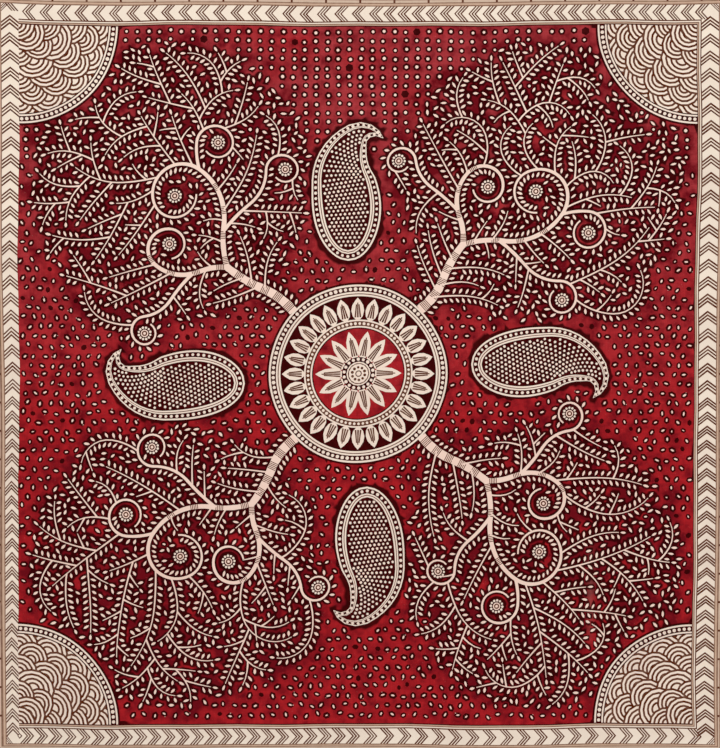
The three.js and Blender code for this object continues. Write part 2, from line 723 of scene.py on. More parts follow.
def curl(x, y, heading, bends, width):
    """A stem that ends in an open coil round a rosette, drawn at the largest scale that fits."""
    length, turn = bends[-1]
    for scale in CURL_SCALES:
        path = walk(x, y, heading, [(part * scale, angle) for part, angle in bends])
        radius = length * scale / math.radians(turn)
        end_x, end_y, end, _ = path[-1]
        middle = beside(end_x, end_y, end, radius)
        clear = stem_room.is_free(*middle, ROSETTE_RADIUS + CURL_ROOM)
        if clear and path_is_free(path, CURL_CLEAR, CURL_MARGIN, CURL_SKIP):
            stem(path, width, CURL_TIP, coiled=True)
            rosette(*middle)
            return path
    return None


# Figures

def petal_ring(x, y, near, far, count):
    """Pointed petals with three veins each, standing on a circle."""
    half_width = math.pi * (near * PETAL_NEAR + far * PETAL_FAR) / count * PETAL_FILL
    half = (far - near) / 2
    for i in range(count):
        angle = TURN * i / count
        petal_x, petal_y = polar(x, y, near + half, angle)
        drawing.paint(stamp(PETAL_SHAPE, petal_x, petal_y, angle, half, half_width), "linen")
        for foot in VEINS:
            end = VEIN_END - abs(foot) * VEIN_FALL
            tip = foot * VEIN_GATHER
            vein = [(end, tip + VEIN_TIP), (end, tip - VEIN_TIP),
                    (VEIN_START, foot - VEIN_FOOT), (VEIN_START, foot + VEIN_FOOT)]
            drawing.paint(stamp(vein, petal_x, petal_y, angle, half, half_width), "brown")


# The roundel from its rim to its middle: what draws each ring, and its sizes
ROUNDEL_RINGS = [
    (disc, ROUNDEL_RADIUS, "linen"), (disc, 109.6, "black"), (bead_ring, 106.4, 107, 2.35),
    (disc, 103, "linen"), (disc, 100.8, "brown"), (disc, 99.7, "linen"), (disc, 97.4, "black"),
    (petal_ring, 68, 95.5, 28),
    (disc, 68, "linen"), (disc, 66, "brown"), (bead_ring, 63, 73, 1.9),
    (disc, 60, "linen"), (disc, 58, "black"), (disc, 56.6, "red"),
    (petal_ring, 19, 54, 14),
    (disc, 21, "black"), (bead_ring, 18.2, 18, 2.2),
    (disc, 15, "linen"), (disc, 13.4, "brown"), (disc, 12.2, "linen"),
    (bead_ring, 8, 10, 1.9, "brown"), (disc, 4.2, "brown"), (disc, 2.8, "linen"),
]


def roundel(x, y):
    """A lotus inside rings of beads and petals."""
    disc(x, y, ROUNDEL_RADIUS + INK_RING, "black", OUTLINE)
    for draw, *sizes in ROUNDEL_RINGS:
        draw(x, y, *sizes)
    halos.extend(circle(x, y, ROUNDEL_RADIUS + HALO, ROUNDEL_GLOWS))
    take(x, y, ROUNDEL_RADIUS, FIGURE_GAP)


def drop_half(t):
    """Half width of a drop, as a share of its widest, at a share t of its length."""
    belly = PAISLEY_BELLY
    if t < belly:
        return math.sqrt(max(0.0, 1 - (1 - t / belly) ** 2))
    return max(0.0, math.cos((t - belly) / (1 - belly) * QUARTER)) ** PAISLEY_TAPER


def paisley(x, y, heading):
    """A drop with a rounded foot and a tip that curls to the right, filled with rows of beads."""
    length = PAISLEY_LENGTH
    half_width = PAISLEY_HALF_WIDTH
    bends = [(length * share, turn) for share, turn in PAISLEY_BENDS]
    spine = walk(x, y, heading, bends, length / PAISLEY_SPINE_STEPS)

    def rim(inset):
        rows = []
        halves = []
        for i in range(PAISLEY_RIM_STEPS + 1):
            t = (i / PAISLEY_RIM_STEPS) ** PAISLEY_RIM_CROWD
            at = inset + (length - PAISLEY_TIP_INSET * inset) * t
            rows.append(place_on(spine, min(max(at, 0), length)))
            halves.append(max(PAISLEY_TIP_HALF, drop_half(t) * (half_width - inset)))
        left, right = sides_of(rows, halves)
        return left + right[::-1]

    halos.extend(rim(-HALO))
    drawing.paint(rim(-INK_RING), "black", OUTLINE)
    for inset, dye in PAISLEY_RIMS:
        drawing.paint(rim(inset), dye)
    bead_path(rim(PAISLEY_BEAD_INSET), PAISLEY_BEAD_PITCH, PAISLEY_BEAD)
    pitch = PAISLEY_GRAIN_PITCH
    inset = PAISLEY_RIMS[-1][0] + PAISLEY_GRAIN_RIM
    inner_length = length - PAISLEY_TIP_INSET * inset
    rows = int(inner_length / (pitch * ROW_SHARE))
    for row in range(1, rows):
        t = row / rows
        row_x, row_y, row_heading, _ = place_on(spine, inset + inner_length * t)
        half = drop_half(t) * (half_width - inset) - PAISLEY_GRAIN_EDGE
        count = int(half / pitch) + 1
        for i in range(-count, count + 1):
            across = (i + 0.5 * (row % 2)) * pitch
            if abs(across) < half:
                grain = beside(row_x, row_y, row_heading, across)
                drawing.paint(circle(*grain, around(PAISLEY_GRAIN, 0.1), 5, rng.random()), "linen")
    for place_x, place_y, _, gone in spine:
        half = min(drop_half(gone / length) * half_width, gone + PAISLEY_FOOT)
        take(place_x, place_y, half, FIGURE_GAP)


def within_field(outline):
    """The part of an outline that lies on the field."""
    for axis, low, high in ((0, FIELD_LEFT, FIELD_RIGHT), (1, FIELD_BOTTOM, FIELD_TOP)):
        for limit, sign in ((low, 1), (high, -1)):
            kept = []
            for a, b in closed_pairs(outline):
                a_depth = (a[axis] - limit) * sign
                b_depth = (b[axis] - limit) * sign
                if a_depth >= 0:
                    kept.append(a)
                if a_depth * b_depth < 0:
                    share = a_depth / (a_depth - b_depth)
                    kept.append((a[0] + (b[0] - a[0]) * share, a[1] + (b[1] - a[1]) * share))
            outline = kept
    return outline


def scale(x, y, heading, half_width):
    """Nested arches, open towards the corner that they spread from."""
    for k in range(SCALE_ARCS):
        share = 1 - k / SCALE_ARCS
        length = SCALE_RADIUS * share
        width = half_width * share
        for line, dye in ((SCALE_LINE, "brown"), (0.0, "linen")):
            outline = within_field(stamp(SCALE_SHAPE, x, y, heading, length + line, width + line))
            if len(outline) > 2:
                drawing.paint(outline, dye)


def arc_band(x, y, start, inner, outer, dye):
    """A quarter of a ring, or of a disc, reaching a little past the straight edges of its corner."""
    count = int(outer * ARC_SIDES_PER_MM)
    sweep = QUARTER + 2 * ARC_SPARE
    angles = [start - ARC_SPARE + sweep * i / count for i in range(count + 1)]
    far = [polar(x, y, outer, angle) for angle in angles]
    near = [polar(x, y, inner, angle) for angle in angles] if inner else [(x, y)]
    drawing.paint(far + near[::-1], dye)


def corner(x, y, sign_x, sign_y):
    """A quarter round of overlapping scales inside a beaded rim, at a corner of the field."""
    start = math.atan2(-sign_y, -sign_x) - math.pi / 4
    arc_band(x, y, start, 0, CORNER_RADIUS, "brown")
    radius = CORNER_RADIUS - CORNER_RIM - SCALE_RADIUS
    row = 0
    while radius > -SCALE_ROW:
        arc = QUARTER * max(radius + SCALE_RADIUS * 0.5, SCALE_RADIUS)
        count = max(1, round(arc / (SCALE_RADIUS * SCALE_PITCH)))
        for i in range(count + 1):
            angle = start + QUARTER * (i + 0.5 * (row % 2)) / count
            if angle < start + QUARTER + ARC_SPARE:
                scale(*polar(x, y, radius, angle), angle, arc / count * SCALE_HALF_WIDTH)
        radius -= SCALE_ROW
        row += 1
    for inner, outer, dye in CORNER_BANDS:
        arc_band(x, y, start, CORNER_RADIUS - inner, CORNER_RADIUS - outer, dye)
    halos.extend(circle(x, y, CORNER_RADIUS + HALO, CORNER_GLOWS))
    bead_radius = CORNER_RADIUS - CORNER_BEAD_INSET
    beads = int(QUARTER * bead_radius / CORNER_BEAD_PITCH)
    for i in range(beads):
        angle = start + QUARTER * (i + 0.5) / beads
        bead(*polar(x, y, bead_radius, angle), CORNER_BEAD, angle)
    take(x, y, CORNER_RADIUS, FIGURE_GAP)


# Border

def chevron(x, y, direction, half_x, half_y, step=CHEVRON_STEP, squeeze=0.0, arms=2):
    """Three nested V strokes from a tip at (x, y), trailing along direction, with one arm or both."""
    along_x, along_y = direction
    step *= 1 + CHEVRON_SQUEEZE * squeeze
    width = (CHEVRON_LINE_LEVEL if half_y else CHEVRON_LINE_UPRIGHT) * (1 - CHEVRON_SQUEEZE * squeeze)
    for k in range(CHEVRON_LINES):
        tip = k * step + rng.uniform(-CHEVRON_STRAY, CHEVRON_STRAY)
        foot = tip + CHEVRON_DROP
        line = around(width, 0.12)
        shape = [(tip, 0), (foot, 1), (foot + line, 1), (tip + line, 0)]
        if arms == 2:
            shape += [(foot + line, -1), (foot, -1)]
        stroke = [(x + along_x * u + half_x * v, y + along_y * u + half_y * v) for u, v in shape]
        drawing.paint(stroke, "brown", FRAME_INK, 0.0)


def chevron_side(start, end, half_x, half_y, narrowing=False):
    length = math.dist(start, end)
    direction = ((end[0] - start[0]) / length, (end[1] - start[1]) / length)
    at = 0.0
    while at + CHEVRON_DROP + CHEVRON_LINES * CHEVRON_STEP - CHEVRON_OVERHANG < length:
        first_block = at < length / 2
        step = CHEVRON_STEP_WIDE if half_x and first_block else CHEVRON_STEP
        squeeze = at / length if narrowing else 0.0
        x = start[0] + direction[0] * at
        y = start[1] + direction[1] * at
        chevron(x, y, direction, half_x, half_y, step, squeeze)
        at += CHEVRON_LONG if first_block else CHEVRON_SHORT


def corner_strokes(x, y, sign_x, sign_y):
    """Three strokes across the outer corner of the border, at 45 degrees."""
    for reach in CORNER_STROKES:
        end = reach + CORNER_LINE
        stroke = [(reach, 0), (end, 0), (0, end), (0, reach)]
        drawing.paint([(x - sign_x * u, y - sign_y * v) for u, v in stroke], "brown", FRAME_INK)


def tick(x, y, half_x, half_y):
    mark = rectangle(x - half_x, x + half_x, y - half_y, y + half_y, TICK_PITCH)
    drawing.paint(mark, "brown", FRAME_INK)


def ticks():
    """Small marks that set out the blocks along the outer edge."""
    for side in (-TICK_SIDE, TICK_SIDE):
        for k in range(-TICKS_UP, TICKS_UP + 1):
            tick(side, k * TICK_PITCH, TICK_HALF_ACROSS, TICK_HALF_ALONG)
    for k in range(-TICKS_ACROSS, TICKS_ACROSS + 1):
        tick(k * TICK_PITCH * TICK_STRETCH, TICK_TOP, TICK_HALF_ALONG, TICK_HALF_ACROSS)


def middle_and_half(band):
    return sum(band) / 2, (band[1] - band[0]) / 2


def border():
    for left, right, bottom, top, dye in FRAMES:
        drawing.paint(rectangle(left, right, bottom, top, FRAME_POINT_STEP), dye, FRAME, 0.0)
    left, half_left = middle_and_half(BAND_LEFT)
    right, half_right = middle_and_half(BAND_RIGHT)
    bottom, half_bottom = middle_and_half(BAND_BOTTOM)
    top, half_top = middle_and_half(BAND_TOP)
    inner_left = BAND_LEFT[1]
    inner_right = BAND_RIGHT[0]
    chevron_side((left, top - UPRIGHT_START), (left, BAND_BOTTOM[0]), half_left, 0, True)
    chevron_side((right, top - UPRIGHT_START), (right, BAND_BOTTOM[0]), half_right, 0)
    chevron_side((inner_left + TOP_START, top), (inner_right + TOP_END, top), 0, half_top)
    chevron_side((inner_right + BOTTOM_START, bottom), (inner_left - BOTTOM_END, bottom), 0, half_bottom)
    chevron(inner_left, top, (-1, 0), 0, half_top, arms=1)
    for radius, dye in CORNER_DIAMONDS:
        drawing.paint(circle(inner_left, bottom, radius, 4), dye, FRAME_INK)
    for sign_x, x in ((-1, BAND_LEFT[0]), (1, BAND_RIGHT[1])):
        for sign_y, y in ((-1, BAND_BOTTOM[0]), (1, BAND_TOP[1])):
            corner_strokes(x, y, sign_x, sign_y)
    ticks()


# Field

def placed(quarter, x, y):
    angle = quarter * QUARTER
    c = math.cos(angle)
    s = math.sin(angle)
    return CENTRE_X + c * x - s * y, CENTRE_Y + s * x + c * y


def handed(bends, hand):
    return [(length, turn * hand) for length, turn in bends]


def quarter_stems(quarter):
    """A trunk that parts into two curls, each with two smaller ones."""
    heading = quarter * QUARTER + math.radians(TRUNK_HEADING)
    trunk = walk(*placed(quarter, *TRUNK_START), heading, TRUNK_BENDS)
    stem(trunk, *TRUNK_WIDTHS, coiled=True)
    hatch(*stems[-1], TRUNK_HATCH)
    end_x, end_y, heading, _ = trunk[-1]
    for hand in (-1, 1):
        path = curl(end_x, end_y, heading + MAIN_HEADING * hand, handed(MAIN_BENDS, hand), MAIN_WIDTH)
        if path is None:
            continue
        hatch(path[:MAIN_HATCHED], stems[-1][1], MAIN_HATCH)
        for i, lean, width, bends in SIDE_CURLS:
            side_x, side_y, side, _ = path[i]
            curl(side_x, side_y, side + lean * hand, handed(bends, hand), width)


def anywhere():
    return rng.uniform(FIELD_LEFT, FIELD_RIGHT), rng.uniform(FIELD_BOTTOM, FIELD_TOP)


def loose_leaves():
    """Leaves at odd angles in what ground is left among the twigs."""
    for _ in range(LOOSE_LEAF_TRIES):
        x, y = anywhere()
        if inside_crown(x, y) and room.is_free(x, y, LOOSE_LEAF_GAP):
            try_leaf(x, y, rng.uniform(0, TURN))


def clear_ground():
    """Places round and between the painted shapes where the dark gives way to red."""
    taken = Room()
    near = [(x, y, HALO_PITCH / 2) for x, y in halos if inside_field(x, y, HALO_MARGIN)]
    between = [(*anywhere(), GLOW_PITCH / 2) for _ in range(GLOW_TRIES)]
    for x, y, gap in near + between:
        if taken.is_free(x, y, gap) and ink_room.is_free(x, y, GLOW_GAP):
            taken.take(x, y, gap)
            drawing.clear(x, y)


def strew(draw, x, y, stray, clear, margin):
    """Draws a small thing near (x, y), if nothing stands there yet."""
    x += rng.uniform(-stray, stray)
    y += rng.uniform(-stray, stray)
    if room.is_free(x, y, clear) and inside_field(x, y, margin):
        room.take(x, y, clear)
        draw(x, y)


def scatter():
    """Dots in rows over the upper ground, and seeds at odd angles over the rest."""
    y = FIELD_TOP - DOT_ROW * DOT_START
    while y > DOT_FROM:
        x = FIELD_LEFT + DOT_COLUMN * DOT_START
        while x < FIELD_RIGHT:
            strew(dot, x, y, DOT_STRAY, DOT_CLEAR, -DOT_STRAY)
            x += DOT_COLUMN
        y -= DOT_ROW
    row = 0
    while y > FIELD_BOTTOM:
        x = FIELD_LEFT + SEED_PITCH * (SEED_START + 0.5 * (row % 2))
        while x < FIELD_RIGHT - SEED_LAST:
            strew(seed, x, y, SEED_STRAY, SEED_CLEAR, SEED_MARGIN)
            x += SEED_PITCH
        y -= SEED_PITCH * ROW_SHARE
        row += 1


def field_outline():
    return rectangle(FIELD_LEFT, FIELD_RIGHT, FIELD_BOTTOM, FIELD_TOP, FRAME_POINT_STEP)


def field():
    ground_face = drawing.paint(field_outline(), "ground", FIELD, 0.0)
    roundel(CENTRE_X, CENTRE_Y)
    for sign_x, x in ((-1, FIELD_LEFT), (1, FIELD_RIGHT)):
        for sign_y, y in ((-1, FIELD_BOTTOM), (1, FIELD_TOP)):
            corner(x, y, sign_x, sign_y)
    for quarter in range(4):
        heading = quarter * QUARTER + math.radians(PAISLEY_HEADING)
        paisley(*placed(quarter, *PAISLEY_PLACE), heading)
    for quarter in range(4):
        quarter_stems(quarter)
    grow()
    for path, halves in stems:
        leafy(path, halves)
    loose_leaves()
    scatter()
    clear_ground()
    return ground_face


# The cloth's own form, for arrays of places on the square-cut cloth

def inset_of(x, y):
    return np.minimum(CLOTH_WIDTH / 2 - np.abs(x), CLOTH_LENGTH / 2 - np.abs(y))


def crease_at(x, y):
    across = np.clip(1 - np.abs(x - CREASE_X) / CREASE_HALF_WIDTH, 0, 1)
    along = np.clip((y - CREASE_FROM) / (CREASE_TO - CREASE_FROM), 0, 1)
    return across * np.sin(np.pi * along)


def wave(run, across, length, sway, sway_length):
    return np.sin(run / length + sway * np.sin(across / sway_length))


def ripple(x, y):
    """How far the loose edge of the cloth stands off the floor."""
    waves = wave(x, y, *RIPPLE_ACROSS) + wave(y, x, *RIPPLE_ALONG)
    return RIPPLE_HEIGHT * (0.5 + 0.25 * waves) ** 2 * np.exp(-inset_of(x, y) / RIPPLE_REACH)


def top_height(x, y):
    inset = inset_of(x, y)
    hem = 1 - np.clip((inset - HEM_WIDTH) / HEM_STEP, 0, 1)
    u = x / CLOTH_WIDTH
    v = y / CLOTH_LENGTH
    across = np.sin(TURN * SWELLS_ACROSS * u + SWELL_SLANT * v)
    along = np.cos(TURN * SWELLS_ALONG * v)
    swell = SWELL_HEIGHT * (1 + across * along) * np.cos(np.pi * u) * np.cos(np.pi * v)
    loose = swell + CREASE_HEIGHT * crease_at(x, y)
    run = np.where(CLOTH_WIDTH / 2 - np.abs(x) < CLOTH_LENGTH / 2 - np.abs(y), y, x)
    pucker = np.sin(TURN * run / PUCKER_PITCH + PUCKER_DRIFT * np.sin(run / PUCKER_DRIFT_LENGTH))
    pucker *= np.sin(run / PUCKER_GROUP + PUCKER_START)
    near = np.exp(-((inset - HEM_WIDTH) / PUCKER_REACH) ** 2)
    lift = PUCKER_HEIGHT * pucker * near + ripple(x, y)
    return CLOTH_THICKNESS + HEM_RISE * hem + loose * (1 - hem) + lift


def cut_lean(u, v):
    return (LEFT_TAPER - (LEFT_TAPER + RIGHT_TAPER) * (1 + u) / 2) * (1 - v) / 2


def wobble(run, across, start, ratio, drift_length):
    fine = np.sin(run / WOBBLE_LENGTH * ratio + across / drift_length)
    return np.sin(run / WOBBLE_LENGTH + start) + WOBBLE_FINE * fine


def as_printed(x, y):
    """Where the print put a place of the drawing on the square-cut cloth. It dies out at the hem."""
    inset = inset_of(x, y)
    fade = np.clip((inset - HEM_WIDTH) / WOBBLE_FADE, 0, 1)
    u = 2 * x / CLOTH_WIDTH
    v = 2 * y / CLOTH_LENGTH
    bow = TOP_BOW * (1 - np.abs(u) ** 3) * np.clip((1 + v) / 2, 0, 1) ** 4
    lean = np.interp(x, LEAN_AT, LEAN_BY) * np.clip((LEAN_TOP - v) / (LEAN_TOP - LEAN_FOOT), 0, 1)
    edge_fade = np.clip((inset - HEM_WIDTH + EDGE_FADE_START) / EDGE_FADE, 0, 1)
    moved_x = x + WOBBLE * wobble(y, x, *WOBBLE_ACROSS) * fade + (lean - cut_lean(u, v)) * edge_fade
    return moved_x, y + WOBBLE * wobble(x, y, *WOBBLE_ALONG) * fade - bow * edge_fade


def as_cut(x, y):
    """Where a place of the square-cut cloth lies on the real, slightly uneven one."""
    u = 2 * x / CLOTH_WIDTH
    v = 2 * y / CLOTH_LENGTH
    side_wander = EDGE_WANDER * np.sin(np.pi * EDGE_WAVES * v + u) * np.abs(u)
    end_wander = EDGE_WANDER * np.sin(np.pi * EDGE_WAVES * u + v) * np.abs(v)
    return x + cut_lean(u, v) - side_wander, y - end_wander


def rim_points(inset, step):
    half_width = CLOTH_WIDTH / 2 - inset
    half_length = CLOTH_LENGTH / 2 - inset
    return rectangle(-half_width, half_width, -half_length, half_length, step)


def rim_middle():
    x, y = as_cut(*np.array(rim_points(0, HEM_POINT_STEP)).T)
    return (x.min() + x.max()) / 2, (y.min() + y.max()) / 2


MIDDLE_X, MIDDLE_Y = rim_middle()


def as_laid(x, y, z):
    """Places in the scene, in metres."""
    laid_x, laid_y = as_cut(x, y)
    return np.stack([laid_x - MIDDLE_X, laid_y - MIDDLE_Y, z], axis=1) * MM


# Cutting the drawing into one mesh

def cut(shapes, field_face=None):
    """Triangles of all the painted shapes, the dye that shows on each, and the soot at each point."""
    points, _, triangles, sources, _, covers = delaunay_2d_cdt(
        [Vector(point) for point in shapes.points], shapes.folds, shapes.faces, 1, CUT_CLOSENESS, True)
    order = sorted(range(len(shapes.faces)), key=lambda i: (shapes.levels[i], i))
    rank = [0] * len(order)
    for place, face in enumerate(order):
        rank[face] = place
    dyes = []
    for cover in covers:
        if field_face is not None and field_face not in cover:
            cover = [face for face in cover if shapes.levels[face] < FIELD]
        dyes.append(shapes.dyes[max(cover, key=rank.__getitem__)])
    soots = [max((shapes.soots[i] for i in source), default=1.0) for source in sources]
    return np.array([tuple(point) for point in points]), triangles, dyes, np.array(soots)


def fold_rim(shapes, insets, step):
    for inset in insets:
        points = rim_points(inset, step)
        shapes.fold(points + points[:1])


def front_of_cloth():
    drawing.paint(rim_points(FOLD_ROUND[0][0], HEM_POINT_STEP), "cream", FRAME)
    border()
    field_face = field()
    fold_rim(drawing, HEM_LINES, HEM_POINT_STEP)
    for across in CREASE_LINES:
        x = CREASE_X + across * CREASE_HALF_WIDTH
        drawing.fold(line_points((x, CREASE_FROM), (x, CREASE_TO), CREASE_POINT_STEP))
    return cut(drawing, field_face)


def back_of_cloth():
    """The plain side: the turned strip of the hem, and the red showing through the field."""
    back = Drawing()
    back.paint(rim_points(FOLD_ROUND[-1][0], HEM_POINT_STEP), "cream", FRAME)
    fold_rim(back, (HEM_WIDTH, HEM_WIDTH + BACK_STEP, *BACK_LINES), HEM_POINT_STEP * 2)
    back.paint(field_outline(), "ghost", FIELD)
    return cut(back)


def back_height(x, y):
    inset = inset_of(x, y)
    lift = BACK_LIFT * np.exp(-np.maximum(inset - HEM_WIDTH - BACK_STEP, 0) / BACK_LIFT_REACH)
    return lift * np.clip((inset - HEM_WIDTH) / BACK_STEP, 0, 1) + ripple(x, y)


def on_rim(points, inset):
    """Which points of a cut drawing lie on its outline, in the order of rim_points."""
    places = {(round(x, 1), round(y, 1)): i for i, (x, y) in enumerate(points)}
    return [places[(round(x, 1), round(y, 1))] for x, y in rim_points(inset, HEM_POINT_STEP)]


def leaf_shade(x, y):
    """How densely leaves stand round each place, from 0 to 1, on a soft grid."""
    cell = SHADE_CELL
    columns = int(CLOTH_WIDTH / cell) + 2
    rows = int(CLOTH_LENGTH / cell) + 2
    count = np.zeros((rows, columns))
    for leaf_x, leaf_y in leaves:
        count[int((leaf_y + CLOTH_LENGTH / 2) / cell), int((leaf_x + CLOTH_WIDTH / 2) / cell)] += 1
    for _ in range(2):
        padded = np.pad(count, 1, mode="edge")
        count = sum(padded[i:i + rows, j:j + columns] for i in range(3) for j in range(3)) / 9
    column = np.clip((x + CLOTH_WIDTH / 2) / cell - 0.5, 0, columns - 2)
    row = np.clip((y + CLOTH_LENGTH / 2) / cell - 0.5, 0, rows - 2)
    left = column.astype(int)
    below = row.astype(int)
    s = column - left
    t = row - below
    lower = count[below, left] * (1 - s) + count[below, left + 1] * s
    upper = count[below + 1, left] * (1 - s) + count[below + 1, left + 1] * s
    return np.clip((lower * (1 - t) + upper * t) / SHADE_FULL, 0, 1)


def add_object(name, data):
    thing = bpy.data.objects.new(name, data)
    bpy.context.scene.collection.objects.link(thing)
    return thing


def new_mesh(name, places, faces):
    mesh = bpy.data.meshes.new(name)
    mesh.from_pydata(places, [], faces)
    mesh.polygons.foreach_set("use_smooth", np.ones(len(faces), dtype=bool))
    return mesh


def make_cloth():
    """The printed front, the rows of the rounded fold, and the back, as one closed mesh."""
    front, front_faces, front_dyes, front_soot = front_of_cloth()
    back, back_faces, back_dyes, _ = back_of_cloth()
    x, y = front.T
    height = top_height(x, y)
    places = [as_laid(*as_printed(x, y), height)]
    # The points also carry the painted highlight along the crease ridge
    layers = {"shade": leaf_shade(x, y), "crease_highlight": crease_at(x, y), "soot": front_soot}
    faces = [list(face) for face in front_faces]
    dyes = list(front_dyes)
    ring = on_rim(front, FOLD_ROUND[0][0])
    edge_height = height[ring]
    total = len(front)
    for inset, share in FOLD_ROUND[1:]:
        if (inset, share) == FOLD_ROUND[-1]:
            next_ring = [total + i for i in on_rim(back, inset)]
        else:
            edge_x, edge_y = np.array(rim_points(inset, HEM_POINT_STEP)).T
            foot = ripple(edge_x, edge_y)
            places.append(as_laid(edge_x, edge_y, foot + (edge_height - foot) * share))
            next_ring = list(range(total, total + len(edge_x)))
            total += len(edge_x)
        for i in range(len(ring)):
            j = (i + 1) % len(ring)
            faces.append([ring[j], ring[i], next_ring[i], next_ring[j]])
            dyes.append("cream")
        ring = next_ring
    x, y = back.T
    places.append(as_laid(x, y, back_height(x, y)))
    faces.extend([total + i for i in reversed(face)] for face in back_faces)
    dyes.extend(back_dyes)
    places = np.concatenate(places)
    mesh = new_mesh("cloth_printed", places.tolist(), faces)
    add_dyes(mesh, dyes)
    add_layers(mesh, layers)
    lay_out_map(mesh, places, len(front_faces))
    mesh.validate()
    return add_object("cloth_printed", mesh)


def add_dyes(mesh, dyes):
    strengths = np.array([DYES[dye] for dye in dyes], dtype=np.float32)
    mesh.attributes.new("dye", "FLOAT_VECTOR", "FACE").data.foreach_set("vector", strengths.ravel())
    soft = np.array([dye == "ground" for dye in dyes], dtype=np.float32)
    mesh.attributes.new("soft", "FLOAT", "FACE").data.foreach_set("value", soft)


def add_layers(mesh, layers):
    """Numbers at the points of the printed front. They are 0 on the fold and the back."""
    for name, front_values in layers.items():
        values = np.zeros(len(mesh.vertices), dtype=np.float32)
        values[:len(front_values)] = front_values
        mesh.attributes.new(name, "FLOAT", "POINT").data.foreach_set("value", values)


def lay_out_map(mesh, places, front_count):
    """A flat map for finishing: the printed face over nearly all of it, the rest in a strip beside it."""
    u = places[:, 0] / (CLOTH_WIDTH * MM) + 0.5
    v = places[:, 1] / (CLOTH_LENGTH * MM) + 0.5
    corners = np.empty(len(mesh.loops), dtype=np.int32)
    mesh.loops.foreach_get("vertex_index", corners)
    starts = np.empty(len(mesh.polygons), dtype=np.int32)
    mesh.polygons.foreach_get("loop_start", starts)
    front_loops = starts[front_count]
    map_u = MAP_EDGE + MAP_FRONT_WIDTH * u[corners]
    map_u[front_loops:] = MAP_STRIP_START + MAP_STRIP_WIDTH * u[corners[front_loops:]]
    map_v = MAP_EDGE + MAP_LENGTH * v[corners]
    layer = mesh.uv_layers.new(name="OFBake")
    layer.data.foreach_set("uv", np.stack([map_u, map_v], axis=1).astype(np.float32).ravel())


def make_stitches():
    """Running stitches along the hem, each a low rounded stretch of thread that dips into the cloth."""
    half_width = CLOTH_WIDTH / 2 - STITCH_INSET
    half_length = CLOTH_LENGTH / 2 - STITCH_INSET
    corners = corners_of(-half_width, half_width, -half_length, half_length)
    sides = STITCH_SIDES
    points = []
    faces = []
    for start, end in closed_pairs(corners):
        heading = math.atan2(end[1] - start[1], end[0] - start[0])
        for x, y in line_points(start, end, STITCH_PITCH)[1:]:
            slant = heading + rng.uniform(-STITCH_SLANT, STITCH_SLANT)
            half = around(STITCH_LENGTH, 0.12) / 2
            first = len(points)
            for along, girth, rise in STITCH_ROWS:
                row_x = x + math.cos(slant) * along * half
                row_y = y + math.sin(slant) * along * half
                radius = STITCH_RADIUS * girth
                for k in range(sides):
                    angle = TURN * k / sides
                    lift = STITCH_RADIUS * rise + radius * math.sin(angle)
                    points.append((*beside(row_x, row_y, slant, radius * math.cos(angle)), lift))
            last = len(points) - sides
            for row in range(first, last, sides):
                for k in range(sides):
                    a = row + k
                    b = row + (k + 1) % sides
                    faces.append((a, a + sides, b + sides, b))
            faces.append([first + k for k in range(sides)])
            faces.append([last + k for k in reversed(range(sides))])
    x, y, lift = np.array(points).T
    mesh = new_mesh("hem_stitches", as_laid(x, y, top_height(x, y) + lift).tolist(), faces)
    mesh.validate()
    return add_object("hem_stitches", mesh)


# Materials

CREAM = (0.815, 0.705, 0.585)
CREAM_AGED = (0.660, 0.540, 0.455)
PALE = (0.890, 0.690, 0.580)
PALE_AGED = (0.760, 0.545, 0.455)
RED = (0.390, 0.0132, 0.0172)
RED_DEEP = (0.125, 0.0030, 0.0070)
RED_PINK = (0.385, 0.0390, 0.0450)
BLACK = (0.0220, 0.0004, 0.0004)
BROWN = (0.078, 0.0130, 0.0025)
TAN = (0.470, 0.310, 0.215)
THREAD = (0.800, 0.690, 0.560)
THREAD_DARK = (0.620, 0.500, 0.390)
# Painted shade: the dark colour given to the hollows between woven threads
VALLEY_SHADE = (0.012, 0.002, 0.002)
FLOOR_COLOUR = (0.770, 0.760, 0.740)
FLOOR_ROUGHNESS = 0.7

# The weave and the thread, in millimetres. A relief is its strength and its depth
WEAVE_PITCH = 0.56
WEAVE_RELIEF = (0.35, 0.1)
COTTON_GLOSS = 0.03
SLUB_ACROSS = 1.1
SLUB_ALONG = 0.035
SLUB_HEIGHT = 0.8
# Painted highlight: how much paler the red is along the ridge of the crease
CREASE_HIGHLIGHT = 0.06
THREAD_TWIST = 9.0
THREAD_RELIEF = (0.4, 0.12)
THREAD_GLOSS = 0.25

# Uneven patterns over the cloth: how many to a millimetre, and their detail
SLUB = (1.0, 3.0)
BROAD = (0.011, 3.0)
PATCH = (0.05, 5.0)
CLOUD = (0.14, 2.0)
DRIFT = (0.032, 2.0)
GRAIN = (0.9, 3.0)
FLOW = (0.16, 3.0)
FUZZ = (3.0, 2.0)

# What a pattern, a dye or a height up the cloth does: two values of it, and the strengths they give
AGE_DOWN = (400.0, -300.0, 0.0, 0.42)
AGE_FOOT = (-462.0, -442.0, 0.3, 1.0)
AGE_BROAD = (0.35, 0.68, 0.0, 0.45)
RESIST = (0.0, 0.05, 0.0, 1.0)
PINK_UP = (-60.0, 240.0, 0.0, 1.0)
PINK_BROAD = (0.25, 0.5, 0.0, 1.0)
DEEP_DRIFT = (0.40, 0.62, 1.0, 0.15)
DEEP_PATCH = (0.42, 0.68, 0.0, 0.75)
DEEP_CLOUD = (0.45, 0.75, 0.0, 0.35)
DEEP_SLUB = (0.75, 1.25, 0.30, 0.0)
MISSED = (0.68, 0.82, 0.0, 0.35)
BROWN_FLOW = (0.35, 0.6, 0.92, 1.0)
BLACK_FLOW = (0.35, 0.6, 0.94, 1.0)
TAN_INK = (0.0, 0.5, 0.0, 1.0)
